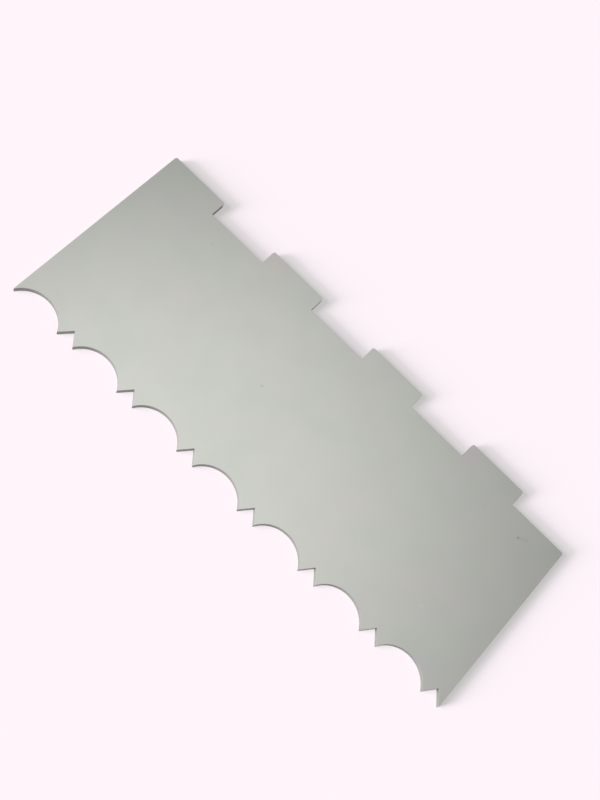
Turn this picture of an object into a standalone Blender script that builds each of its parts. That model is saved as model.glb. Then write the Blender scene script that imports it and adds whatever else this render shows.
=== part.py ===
"""Flat comb scraper for icing: one plate of sheet plastic with two shaped long edges.

Metres, +Z up. The plate lies flat, with the origin at the middle of its underside.
+X runs along the plate, +Y points to the toothed edge and -Y to the scalloped edge.
"""

import math

import bmesh
import bpy

# The sheet that the plate is cut from
LENGTH = 0.250
WIDTH = 0.100
THICKNESS = 0.003

# Scalloped edge: equal pitches, each a round hollow followed by a V-notch
SCALLOP_COUNT = 7
SCALLOP_DEPTH = 0.0079
V_NOTCH_WIDTH = 0.0094
V_NOTCH_DEPTH = 0.0059

# Toothed edge: equal flat teeth, each followed by a square slot, the last one open at the plate's end
TOOTH_COUNT = 4
SLOT_WIDTH = 0.03175
END_SLOT_WIDTH = 0.0309
SLOT_DEPTH = 0.0084
CORNER_RADIUS = 0.0011

# The cut rim's broken edge, along both faces
EDGE_BREAK = 0.0002

# Fineness of the round stretches
SCALLOP_SEGMENTS = 20
CORNER_SEGMENTS = 4
EDGE_BREAK_SEGMENTS = 2
SMOOTH_ANGLE = math.radians(30)

# Satin light grey plastic
PLASTIC_COLOUR = (0.47, 0.48, 0.45, 1.0)
PLASTIC_ROUGHNESS = 0.47


def remove_old_objects():
    """Empties the scene, so that the script gives the same result each run."""
    for old in list(bpy.data.objects):
        bpy.data.objects.remove(old, do_unlink=True)


def scallop_arc(start, chord):
    """Points of one hollow, from its left tip at x = start to its right tip, chord further on."""
    half_angle = 2 * math.atan2(SCALLOP_DEPTH, chord / 2)
    radius = chord / 2 / math.sin(half_angle)
    centre_x = start + chord / 2
    centre_y = -WIDTH / 2 + SCALLOP_DEPTH - radius
    points = []
    for step in range(SCALLOP_SEGMENTS + 1):
        angle = half_angle * (1 - 2 * step / SCALLOP_SEGMENTS)
        points.append((centre_x - radius * math.sin(angle), centre_y + radius * math.cos(angle)))
    return points


def scalloped_edge():
    """Points along the -Y edge, from the left end to the right end of the plate."""
    pitch = LENGTH / SCALLOP_COUNT
    chord = pitch - V_NOTCH_WIDTH
    points = []
    for index in range(SCALLOP_COUNT):
        start = -LENGTH / 2 + index * pitch
        points += scallop_arc(start, chord)
        points.append((start + chord + V_NOTCH_WIDTH / 2, -WIDTH / 2 + V_NOTCH_DEPTH))
    points.append((LENGTH / 2, -WIDTH / 2))
    return points


def rounded_corner(corner, step_in, step_out):
    """Points of a rounded right-angled corner, entered along step_in and left along step_out."""
    points = []
    for step in range(CORNER_SEGMENTS + 1):
        angle = math.pi / 2 * step / CORNER_SEGMENTS
        back = CORNER_RADIUS * (1 - math.sin(angle))
        ahead = CORNER_RADIUS * (1 - math.cos(angle))
        x = corner[0] - step_in[0] * back + step_out[0] * ahead
        y = corner[1] - step_in[1] * back + step_out[1] * ahead
        points.append((x, y))
    return points


def toothed_edge():
    """Points along the +Y edge, from the right end to the left end of the plate."""
    up, down, left = (0, 1), (0, -1), (-1, 0)
    tooth_width = (LENGTH - END_SLOT_WIDTH - (TOOTH_COUNT - 1) * SLOT_WIDTH) / TOOTH_COUNT
    crest = WIDTH / 2
    floor = WIDTH / 2 - SLOT_DEPTH
    points = rounded_corner((LENGTH / 2, floor), up, left)
    slot_end = LENGTH / 2 - END_SLOT_WIDTH
    for index in range(TOOTH_COUNT):
        tooth_end = slot_end - tooth_width
        points.append((slot_end, floor))
        points += rounded_corner((slot_end, crest), up, left)
        points += rounded_corner((tooth_end, crest), left, down)
        if index < TOOTH_COUNT - 1:
            points.append((tooth_end, floor))
        slot_end = tooth_end - SLOT_WIDTH
    return points


def extruded_plate(outline):
    """A mesh of the outline raised to the sheet's thickness, with its rims marked for the edge break."""
    shape = bmesh.new()
    underside = shape.faces.new([shape.verts.new((x, y, 0.0)) for x, y in outline])
    raised = bmesh.ops.extrude_face_region(shape, geom=[underside])["geom"]
    top_corners = [item for item in raised if isinstance(item, bmesh.types.BMVert)]
    bmesh.ops.translate(shape, verts=top_corners, vec=(0.0, 0.0, THICKNESS))
    bmesh.ops.recalc_face_normals(shape, faces=shape.faces)
    break_weight = shape.edges.layers.float.new("bevel_weight_edge")
    for edge in shape.edges:
        level = edge.verts[0].co.z == edge.verts[1].co.z
        edge[break_weight] = 1.0 if level else 0.0
    mesh = bpy.data.meshes.new("scraper_plate")
    shape.to_mesh(mesh)
    shape.free()
    return mesh


def break_edges(plate):
    """Rounds off both rims of the plate by the edge break."""
    bevel = plate.modifiers.new("edge_break", "BEVEL")
    bevel.limit_method = "WEIGHT"
    bevel.width = EDGE_BREAK
    bevel.segments = EDGE_BREAK_SEGMENTS


def satin_plastic():
    """Light grey sheet plastic with a satin face."""
    material = bpy.data.materials.new("satin_plastic")
    material.use_nodes = True
    shader = material.node_tree.nodes["Principled BSDF"]
    shader.inputs["Base Color"].default_value = PLASTIC_COLOUR
    shader.inputs["Roughness"].default_value = PLASTIC_ROUGHNESS
    shader.inputs["Metallic"].default_value = 0.0
    return material


def make_scraper_plate():
    """The whole tool: both shaped edges and both plain ends, cut from one sheet."""
    mesh = extruded_plate(scalloped_edge() + toothed_edge())
    mesh.shade_smooth()
    mesh.set_sharp_from_angle(angle=SMOOTH_ANGLE)
    mesh.materials.append(satin_plastic())
    plate = bpy.data.objects.new("scraper_plate", mesh)
    bpy.context.scene.collection.objects.link(plate)
    break_edges(plate)


remove_old_objects()
make_scraper_plate()
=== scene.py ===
"""Looks of a flat icing comb: one satin plate of light grey sheet plastic, lying on a pale floor.

Metres, +Z up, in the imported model's frame: +X along the plate, +Y towards its toothed edge.
"""

import math

import bmesh
import bpy
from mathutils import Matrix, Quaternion, Vector


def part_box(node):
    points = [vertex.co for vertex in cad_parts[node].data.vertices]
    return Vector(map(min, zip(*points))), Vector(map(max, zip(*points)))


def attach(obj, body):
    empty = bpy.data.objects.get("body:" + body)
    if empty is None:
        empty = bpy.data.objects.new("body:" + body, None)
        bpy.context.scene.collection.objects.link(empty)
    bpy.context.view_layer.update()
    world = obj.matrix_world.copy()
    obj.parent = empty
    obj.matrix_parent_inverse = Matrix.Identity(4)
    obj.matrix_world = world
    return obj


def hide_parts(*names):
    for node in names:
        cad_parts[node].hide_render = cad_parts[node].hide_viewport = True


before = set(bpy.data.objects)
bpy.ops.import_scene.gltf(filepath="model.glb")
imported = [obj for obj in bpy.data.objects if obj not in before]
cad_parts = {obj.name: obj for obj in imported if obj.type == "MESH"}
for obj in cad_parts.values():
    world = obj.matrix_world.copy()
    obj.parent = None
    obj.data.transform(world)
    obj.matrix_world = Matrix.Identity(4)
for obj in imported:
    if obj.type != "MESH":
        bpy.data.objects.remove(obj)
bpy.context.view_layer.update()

# The plate's size, as packed
PLATE_LOW, PLATE_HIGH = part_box("scraper_plate")
LENGTH, WIDTH, THICKNESS = PLATE_HIGH - PLATE_LOW

# Scalloped edge: equal pitches, each a round hollow followed by a V-notch
SCALLOP_COUNT = 7
SCALLOP_DEPTH = 0.0079
V_NOTCH_WIDTH = 0.0094
V_NOTCH_DEPTH = 0.0059

# Toothed edge: equal flat teeth, each followed by a square slot, the last one open at the plate's end
TOOTH_COUNT = 4
SLOT_WIDTH = 0.03175
END_SLOT_WIDTH = 0.0309
SLOT_DEPTH = 0.0084

# Rounding of the cut outline: the teeth's corners, the cutting tips, and the rim along both faces
CORNER_RADIUS = 0.0011
TIP_RADIUS = 0.0001
RIM_RADIUS = 0.0002

# Fineness of the round stretches
SCALLOP_SEGMENTS = 48
CORNER_SEGMENTS = 8
TIP_SEGMENTS = 4
RIM_SEGMENTS = 3
SMOOTH_ANGLE = math.radians(40)

# The plate's two material slots: its flat faces, and the four-cornered walls between them
FACE_FINISH = 0
EDGE_FINISH = 1
WALL_CORNERS = 4

# The sheet's colours, linear: two close tints of its face, its cut edge with painted shade, and its
# rubbed rim
COOL_TINT = (0.462, 0.480, 0.441)
WARM_TINT = (0.478, 0.478, 0.449)
# Cut edge: darker than the face, partly for the cut's own look and partly as painted shade on the walls
EDGE_COLOUR_WITH_PAINTED_SHADE = (0.318, 0.326, 0.301)
RUBBED_COLOUR = (0.405, 0.413, 0.386)

# Ranges that hold most of a soft random pattern's values
MOST_VALUES = (0.35, 0.65)
NEARLY_ALL_VALUES = (0.3, 0.7)

# Ranges that masks run over: from none to all, from all to none, and from darker to lighter
RISING = (0.0, 1.0)
FALLING = (1.0, 0.0)
BOTH_WAYS = (-1.0, 1.0)

# Satin face: drift of tint and of shade, with the sizes of the patterns along X, Y and Z
TINT_SIZE = (0.030, 0.030, 0.030)
CLOUD_SIZE = (0.016, 0.016, 0.016)
CLOUD_SHADE = 0.012

# Satin face: smudges in its gloss, and its fine grain
SMUDGE_SIZE = (0.045, 0.028, 0.030)
SMUDGE_DETAIL = 4.0
FACE_ROUGHNESS = (0.43, 0.52)
GRAIN_SIZE = (0.00045, 0.00045, 0.00045)
GRAIN_HEIGHT = 0.000006

# Satin face: hairlines in two directions, drawn where a stretched pattern's values are highest
HAIRLINE_SIZES = ((0.060, 0.00050, 0.030), (0.035, 0.00045, 0.030))
HAIRLINE_TURNS = (math.radians(24), math.radians(-58))
HAIRLINE_DETAIL = 1.0
HAIRLINE_VALUES = (0.66, 0.76)
HAIRLINE_SHADE = 0.022

# Satin face: grains of dust, each with a solid core, at the places that draw a high random value
DUST_SPACING = 0.011
DUST_RADIUS = 0.00022
DUST_CORE = 0.4
DUST_VALUES = (0.55, 0.75)
DUST_SHADE = -0.10

# Marks on the top face: start and end of each, its half width, and how much it darkens or lightens
MARKS = {
    "speck": ((-0.0220, -0.0020), (-0.0219, -0.0020), 0.00100, -0.19),
    "nick": ((0.1051, 0.0316), (0.1055, 0.0318), 0.00070, -0.30),
    "scratch": ((0.1055, 0.0317), (0.1094, 0.0339), 0.00110, -0.10),
    "rub": ((0.0918, -0.0240), (0.0936, -0.0224), 0.00050, 0.08),
    "stain": ((-0.0839, 0.0306), (-0.0833, 0.0311), 0.00120, -0.07),
}

# Cut edge: witness lines through the thickness, and rims that handling rubs lighter in patches
WITNESS_SIZE = (0.00040, 0.00040, 0.020)
WITNESS_HEIGHT = 0.000010
WITNESS_SHADE = 0.07
EDGE_ROUGHNESS = (0.48, 0.62)
RUB_SIZE = (0.004, 0.004, 0.004)
RUB_DEPTH = 0.00035
RUB_SHARE = (0.3, 1.0)

# The photo's camera: its place, the point on the floor that it looks at, its roll and its lens
CAMERA_PLACE = Vector((0.0194, -0.2067, 0.4801))
CAMERA_AIM = Vector((-0.0061, 0.0072, 0.0))
CAMERA_ROLL = math.radians(38.02)
CAMERA_LENS_MM = 53.74
CAMERA_SENSOR_MM = 36.0

# Tall window on the floor alone, in two parts: bearing, height and width in degrees, and strength
LOW_WINDOW = (235, 14, 20, 10.4)
HIGH_WINDOW = (224, 30, 36, 4.60)

# Side light on the plate alone, for the cut edges that face it: the same four values
SIDE_LIGHT = (219, 18, 20, 2.6)

# Soft spot of light on the plate, which fades towards its far end
LAMP_AIM = Vector((-0.0209, -0.0698, PLATE_HIGH.z))
LAMP_BEARING = math.radians(233)
LAMP_HEIGHT = math.radians(77)
LAMP_DISTANCE = 0.40
LAMP_CONE = math.radians(53.5)
LAMP_EDGE_FADE = 1.0
LAMP_WIDTH = 0.08
LAMP_POWER = 4.79

# Even light from the room, and the lit floor's colour for what a view sees beyond the floor
ROOM_COLOUR = (1.0, 1.0, 1.0)
ROOM_LEVEL = 0.295
BACKDROP_COLOUR = (0.991, 0.908, 0.956)
BACKDROP_LEVEL = 1.0

# Floor: size, gap under the plate, the glow that the shadow keeps, and the colour that takes light
FLOOR_SIZE = 6.0
FLOOR_GAP = 0.0001
FLOOR_GLOW = (0.484, 0.477, 0.470)
FLOOR_SCATTER = (0.278, 0.236, 0.266)


def along(start, towards, distance):
    """The point at a distance from start on the way to another point."""
    way = (towards[0] - start[0], towards[1] - start[1])
    length = math.hypot(*way)
    return (start[0] + way[0] * distance / length, start[1] + way[1] * distance / length)


def rounded(before, corner, after, radius, segments):
    """Points of an outline's corner between its two neighbours, rounded to a radius."""
    to_before = Vector(before) - Vector(corner)
    to_after = Vector(after) - Vector(corner)
    half_angle = to_before.angle(to_after) / 2
    middle = (to_before.normalized() + to_after.normalized()).normalized()
    centre = Vector(corner) + middle * (radius / math.sin(half_angle))
    reach = radius / math.tan(half_angle)
    first = Vector(along(corner, before, reach)) - centre
    clockwise_turn = first.angle_signed(Vector(along(corner, after, reach)) - centre)
    points = []
    for step in range(segments + 1):
        angle = -clockwise_turn * step / segments
        x = first.x * math.cos(angle) - first.y * math.sin(angle)
        y = first.x * math.sin(angle) + first.y * math.cos(angle)
        points.append((centre.x + x, centre.y + y))
    return points


def scallop_arc(start, chord):
    """Points of one hollow, from its left tip at x = start to its right tip, chord further on."""
    half_angle = 2 * math.atan2(SCALLOP_DEPTH, chord / 2)
    radius = chord / 2 / math.sin(half_angle)
    centre_x = start + chord / 2
    centre_y = -WIDTH / 2 + SCALLOP_DEPTH - radius
    points = []
    for step in range(SCALLOP_SEGMENTS + 1):
        angle = half_angle * (1 - 2 * step / SCALLOP_SEGMENTS)
        points.append((centre_x - radius * math.sin(angle), centre_y + radius * math.cos(angle)))
    return points


def scalloped_edge():
    """Corners along the -Y edge, from the left end to the right end, each with its radius."""
    pitch = LENGTH / SCALLOP_COUNT
    chord = pitch - V_NOTCH_WIDTH
    corners = []
    for index in range(SCALLOP_COUNT):
        start = -LENGTH / 2 + index * pitch
        arc = scallop_arc(start, chord)
        corners.append((arc[0], TIP_RADIUS))
        corners += [(point, 0) for point in arc[1:-1]]
        corners.append((arc[-1], TIP_RADIUS))
        root = (start + chord + V_NOTCH_WIDTH / 2, -WIDTH / 2 + V_NOTCH_DEPTH)
        corners.append((root, TIP_RADIUS))
    corners.append(((LENGTH / 2, -WIDTH / 2), TIP_RADIUS))
    return corners


def toothed_edge():
    """Corners along the +Y edge, from the right end to the left end, each with its radius."""
    tooth_width = (LENGTH - END_SLOT_WIDTH - (TOOTH_COUNT - 1) * SLOT_WIDTH) / TOOTH_COUNT
    crest = WIDTH / 2
    root = WIDTH / 2 - SLOT_DEPTH
    corners = [((LENGTH / 2, root), CORNER_RADIUS)]
    slot_end = LENGTH / 2 - END_SLOT_WIDTH
    for index in range(TOOTH_COUNT):
        tooth_end = slot_end - tooth_width
        corners.append(((slot_end, root), TIP_RADIUS))
        corners.append(((slot_end, crest), CORNER_RADIUS))
        corners.append(((tooth_end, crest), CORNER_RADIUS))
        if index < TOOTH_COUNT - 1:
            corners.append(((tooth_end, root), TIP_RADIUS))
        slot_end = tooth_end - SLOT_WIDTH
    return corners


def plate_outline():
    """Points round the whole plate, with every corner that has a radius rounded."""
    corners = scalloped_edge() + toothed_edge()
    points = []
    for index, (corner, radius) in enumerate(corners):
        if not radius:
            points.append(corner)
            continue
        before = corners[index - 1][0]
        after = corners[(index + 1) % len(corners)][0]
        segments = CORNER_SEGMENTS if radius == CORNER_RADIUS else TIP_SEGMENTS
        points += rounded(before, corner, after, radius, segments)
    return points


def plate_mesh():
    """The outline raised to the sheet's thickness, with its two rims marked for rounding."""
    shape = bmesh.new()
    underside = shape.faces.new([shape.verts.new((x, y, PLATE_LOW.z)) for x, y in plate_outline()])
    extruded = bmesh.ops.extrude_face_region(shape, geom=[underside])["geom"]
    top_corners = [item for item in extruded if isinstance(item, bmesh.types.BMVert)]
    bmesh.ops.translate(shape, verts=top_corners, vec=(0.0, 0.0, THICKNESS))
    bmesh.ops.recalc_face_normals(shape, faces=shape.faces)
    rim_weight = shape.edges.layers.float.new("bevel_weight_edge")
    for edge in shape.edges:
        level = edge.verts[0].co.z == edge.verts[1].co.z
        edge[rim_weight] = 1.0 if level else 0.0
    for face in shape.faces:
        is_wall = len(face.verts) == WALL_CORNERS
        face.material_index = EDGE_FINISH if is_wall else FACE_FINISH
    mesh = bpy.data.meshes.new("comb_plate")
    shape.to_mesh(mesh)
    shape.free()
    mesh.shade_smooth()
    mesh.set_sharp_from_angle(angle=SMOOTH_ANGLE)
    return mesh


def make_plate():
    """The visible plate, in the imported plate's place."""
    mesh = plate_mesh()
    mesh.materials.append(satin_face())
    mesh.materials.append(cut_edge())
    plate = bpy.data.objects.new("comb_plate", mesh)
    bpy.context.scene.collection.objects.link(plate)
    rim = plate.modifiers.new("rim", "BEVEL")
    rim.limit_method = "WEIGHT"
    rim.width = RIM_RADIUS
    rim.segments = RIM_SEGMENTS
    rim.material = EDGE_FINISH
    rim.harden_normals = True
    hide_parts("scraper_plate")
    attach(plate, "root")
    return plate


def new_material(name):
    """A material with an empty node tree."""
    material = bpy.data.materials.new(name)
    material.use_nodes = True
    material.node_tree.nodes.clear()
    return material, material.node_tree


def add_node(tree, kind, inputs=None, **settings):
    """A node of one kind, with its settings, and with each input set to a value or linked."""
    node = tree.nodes.new(kind)
    for name, value in settings.items():
        setattr(node, name, value)
    for name, value in (inputs or {}).items():
        if isinstance(value, bpy.types.NodeSocket):
            tree.links.new(value, node.inputs[name])
        else:
            node.inputs[name].default_value = value
    return node


def result_of(tree, operation, first, second):
    """Outcome of an operation on two numbers."""
    return add_node(tree, "ShaderNodeMath", {0: first, 1: second}, operation=operation).outputs[0]


def vector_outputs(tree, operation, first, second):
    """Outputs of an operation on two vectors."""
    return add_node(tree, "ShaderNodeVectorMath", {0: first, 1: second}, operation=operation).outputs


def scaled(tree, vector, factor):
    """A vector or a colour, times a number."""
    inputs = {0: vector, "Scale": factor}
    return add_node(tree, "ShaderNodeVectorMath", inputs, operation="SCALE").outputs["Vector"]


def carried(tree, value, old_range, new_range):
    """A number carried smoothly from one range to another, and held at the new range's ends."""
    inputs = {
        "Value": value,
        "From Min": old_range[0],
        "From Max": old_range[1],
        "To Min": new_range[0],
        "To Max": new_range[1],
    }
    return add_node(tree, "ShaderNodeMapRange", inputs, interpolation_type="SMOOTHSTEP").outputs[0]


def places(tree):
    """Each point's place in the plate's own frame."""
    return add_node(tree, "ShaderNodeTexCoord").outputs["Object"]


def clouds(tree, where, size, turn=0.0, detail=2.0):
    """Soft random pattern, 0 to 1, of features of a size along X, Y and Z, turned about Z."""
    inputs = {"Vector": where, "Rotation": (0.0, 0.0, turn), "Scale": size}
    sized = add_node(tree, "ShaderNodeMapping", inputs, vector_type="TEXTURE").outputs["Vector"]
    pattern = add_node(tree, "ShaderNodeTexNoise", {"Vector": sized, "Scale": 1.0, "Detail": detail})
    return pattern.outputs["Fac"]


def mark_mask(tree, where, start, end, half_width):
    """1 along a stroke on the top face, fading to 0 at its half width."""
    first = Vector((*start, PLATE_HIGH.z))
    stroke = Vector((*end, PLATE_HIGH.z)) - first
    offset = vector_outputs(tree, "SUBTRACT", where, first)["Vector"]
    share = vector_outputs(tree, "DOT_PRODUCT", offset, stroke / stroke.length_squared)["Value"]
    held = add_node(tree, "ShaderNodeClamp", {"Value": share}).outputs["Result"]
    distance = vector_outputs(tree, "DISTANCE", offset, scaled(tree, stroke, held))["Value"]
    return carried(tree, distance, (0.0, half_width), FALLING)


def dust_mask(tree, where):
    """1 on a few tiny grains, scattered with about one place to each square of the spacing."""
    inputs = {"Vector": where, "Scale": 1.0 / DUST_SPACING}
    cells = add_node(tree, "ShaderNodeTexVoronoi", inputs, voronoi_dimensions="2D")
    radius = DUST_RADIUS / DUST_SPACING
    grain = carried(tree, cells.outputs["Distance"], (DUST_CORE * radius, radius), FALLING)
    picked = carried(tree, cells.outputs["Color"], DUST_VALUES, RISING)
    return result_of(tree, "MULTIPLY", grain, picked)


def hairlines(tree, where):
    """1 on sparse fine scratches, which run in two directions."""
    masks = []
    for size, turn in zip(HAIRLINE_SIZES, HAIRLINE_TURNS):
        pattern = clouds(tree, where, size, turn, HAIRLINE_DETAIL)
        masks.append(carried(tree, pattern, HAIRLINE_VALUES, RISING))
    return result_of(tree, "MAXIMUM", *masks)


def shaded(tree, shades):
    """1 plus every mask's share of light or dark."""
    total = 1.0
    for mask, shade in shades:
        total = result_of(tree, "ADD", total, result_of(tree, "MULTIPLY", mask, shade))
    return total


def mixed_colour(tree, share, first, second):
    """A colour between two others."""
    inputs = {"Fac": share, "Color1": (*first, 1.0), "Color2": (*second, 1.0)}
    return add_node(tree, "ShaderNodeMixRGB", inputs).outputs["Color"]


def relief(tree, pattern, height):
    """Surface direction of a pattern that stands up by a height."""
    return add_node(tree, "ShaderNodeBump", {"Height": pattern, "Distance": height}).outputs["Normal"]


def plastic_shader(tree, colour, roughness, normal):
    """Plain plastic with varied colour, gloss and relief, as the material's surface."""
    inputs = {"Base Color": colour, "Roughness": roughness, "Normal": normal}
    shader = add_node(tree, "ShaderNodeBsdfPrincipled", inputs)
    add_node(tree, "ShaderNodeOutputMaterial", {"Surface": shader.outputs["BSDF"]})


def satin_face():
    """Satin face of the sheet: drift of tint, fine grain, hairlines, dust, smudges and a few marks."""
    material, tree = new_material("satin_face")
    where = places(tree)
    cloud = carried(tree, clouds(tree, where, CLOUD_SIZE), NEARLY_ALL_VALUES, BOTH_WAYS)
    shades = [
        (cloud, CLOUD_SHADE),
        (hairlines(tree, where), HAIRLINE_SHADE),
        (dust_mask(tree, where), DUST_SHADE),
    ]
    for start, end, half_width, shade in MARKS.values():
        shades.append((mark_mask(tree, where, start, end, half_width), shade))
    drift = carried(tree, clouds(tree, where, TINT_SIZE), MOST_VALUES, RISING)
    tint = mixed_colour(tree, drift, COOL_TINT, WARM_TINT)
    colour = scaled(tree, tint, shaded(tree, shades))
    smudge = clouds(tree, where, SMUDGE_SIZE, detail=SMUDGE_DETAIL)
    roughness = carried(tree, smudge, MOST_VALUES, FACE_ROUGHNESS)
    grain = relief(tree, clouds(tree, where, GRAIN_SIZE), GRAIN_HEIGHT)
    plastic_shader(tree, colour, roughness, grain)
    return material


def rubbed_rim(tree, where):
    """1 in patches along both rims of the cut edge, fading to 0 towards the middle of the thickness."""
    height = add_node(tree, "ShaderNodeSeparateXYZ", {"Vector": where}).outputs["Z"]
    from_middle = result_of(tree, "ABSOLUTE", result_of(tree, "SUBTRACT", height, THICKNESS / 2), 0.0)
    rim = carried(tree, from_middle, (THICKNESS / 2 - RUB_DEPTH, THICKNESS / 2), RISING)
    patches = carried(tree, clouds(tree, where, RUB_SIZE), MOST_VALUES, RUB_SHARE)
    return result_of(tree, "MULTIPLY", rim, patches)


def cut_edge():
    """Cut rim of the sheet: a colour darker than the face, partly painted shade, fine lines left by the
    cutter, and both rims rubbed lighter in places.
    """
    material, tree = new_material("cut_edge")
    where = places(tree)
    witness = clouds(tree, where, WITNESS_SIZE)
    lines = carried(tree, witness, MOST_VALUES, BOTH_WAYS)
    # The edge's base colour is darker than the face partly as painted shade; the rubbed patches are
    # wear
    edge_wear_and_painted_shade = mixed_colour(tree, rubbed_rim(tree, where), EDGE_COLOUR_WITH_PAINTED_SHADE, RUBBED_COLOUR)
    colour = scaled(tree, edge_wear_and_painted_shade, shaded(tree, [(lines, WITNESS_SHADE)]))
    roughness = carried(tree, witness, NEARLY_ALL_VALUES, EDGE_ROUGHNESS)
    plastic_shader(tree, colour, roughness, relief(tree, witness, WITNESS_HEIGHT))
    return material


def seen_directly(tree):
    """1 for a ray from the camera, a reflection or glass, and 0 for scattered light."""
    ray = add_node(tree, "ShaderNodeLightPath").outputs
    plain_or_glossy = result_of(tree, "MAXIMUM", ray["Is Camera Ray"], ray["Is Glossy Ray"])
    return result_of(tree, "MAXIMUM", plain_or_glossy, ray["Is Transmission Ray"])


def floor_material():
    """Pale floor that glows to the camera and scatters light besides, so that it keeps the shadow."""
    material, tree = new_material("pale_floor")
    scatter = add_node(tree, "ShaderNodeBsdfDiffuse", {"Color": (*FLOOR_SCATTER, 1.0)})
    inputs = {"Color": (*FLOOR_GLOW, 1.0), "Strength": seen_directly(tree)}
    glow = add_node(tree, "ShaderNodeEmission", inputs)
    both = add_node(tree, "ShaderNodeAddShader", {0: scatter.outputs[0], 1: glow.outputs[0]})
    add_node(tree, "ShaderNodeOutputMaterial", {"Surface": both.outputs["Shader"]})
    return material


def make_floor():
    """One large flat sheet under the plate."""
    half = FLOOR_SIZE / 2
    level = PLATE_LOW.z - FLOOR_GAP
    corners = [(-half, -half, level), (half, -half, level), (half, half, level), (-half, half, level)]
    mesh = bpy.data.meshes.new("floor")
    mesh.from_pydata(corners, [], [(0, 1, 2, 3)])
    mesh.materials.append(floor_material())
    floor = bpy.data.objects.new("floor", mesh)
    bpy.context.scene.collection.objects.link(floor)
    return floor


def background(tree, colour, strength):
    """Light of one colour and strength from all round."""
    inputs = {"Color": (*colour, 1.0), "Strength": strength}
    return add_node(tree, "ShaderNodeBackground", inputs).outputs["Background"]


def make_world():
    """A weak even light, which shows as the lit floor's colour where the world is seen."""
    world = bpy.data.worlds.new("room")
    world.use_nodes = True
    bpy.context.scene.world = world
    tree = world.node_tree
    tree.nodes.clear()
    room = background(tree, ROOM_COLOUR, ROOM_LEVEL)
    backdrop = background(tree, BACKDROP_COLOUR, BACKDROP_LEVEL)
    either = add_node(tree, "ShaderNodeMixShader", {0: seen_directly(tree), 1: room, 2: backdrop})
    add_node(tree, "ShaderNodeOutputWorld", {"Surface": either.outputs[0]})


def direction(bearing, height):
    """Unit vector to a bearing round +Z, counted from +X, and a height above the horizon."""
    level = math.cos(height)
    return Vector((level * math.cos(bearing), level * math.sin(bearing), math.sin(height)))


def hang(light, away, receiver):
    """Puts a light in the scene, shining from a direction on one object alone."""
    stand = bpy.data.objects.new(light.name, light)
    stand.rotation_mode = "QUATERNION"
    stand.rotation_quaternion = away.to_track_quat("Z", "Y")
    bpy.context.scene.collection.objects.link(stand)
    lit = bpy.data.collections.new("lit_by_" + light.name)
    lit.objects.link(receiver)
    stand.light_linking.receiver_collection = lit
    return stand


def make_far_light(name, bearing, height, width, strength, receiver):
    """Wide even light on one object alone, with its angles in degrees."""
    light = bpy.data.lights.new(name, "SUN")
    light.energy = strength
    light.angle = math.radians(width)
    hang(light, direction(math.radians(bearing), math.radians(height)), receiver)


def make_lamp(plate):
    """Soft-edged spot of light on the plate alone, so that its face fades and the floor stays even."""
    lamp = bpy.data.lights.new("lamp", "SPOT")
    lamp.energy = LAMP_POWER
    lamp.spot_size = LAMP_CONE
    lamp.spot_blend = LAMP_EDGE_FADE
    lamp.shadow_soft_size = LAMP_WIDTH / 2
    away = direction(LAMP_BEARING, LAMP_HEIGHT)
    stand = hang(lamp, away, plate)
    stand.location = LAMP_AIM + away * LAMP_DISTANCE
    stand.visible_camera = False


def make_camera():
    """The photo's camera, rolled so that the plate runs slantwise down the picture."""
    camera = bpy.data.cameras.new("camera")
    camera.lens = CAMERA_LENS_MM
    camera.sensor_width = CAMERA_SENSOR_MM
    camera_object = bpy.data.objects.new("camera", camera)
    camera_object.location = CAMERA_PLACE
    level_view = (CAMERA_AIM - CAMERA_PLACE).to_track_quat("-Z", "Y")
    camera_object.rotation_mode = "QUATERNION"
    camera_object.rotation_quaternion = level_view @ Quaternion((0.0, 0.0, 1.0), CAMERA_ROLL)
    bpy.context.scene.collection.objects.link(camera_object)
    bpy.context.scene.camera = camera_object


bpy.context.scene.view_settings.view_transform = "Standard"
comb_plate = make_plate()
pale_floor = make_floor()
make_world()
make_far_light("low_window", *LOW_WINDOW, pale_floor)
make_far_light("high_window", *HIGH_WINDOW, pale_floor)
make_far_light("side_light", *SIDE_LIGHT, comb_plate)
make_lamp(comb_plate)
make_camera()
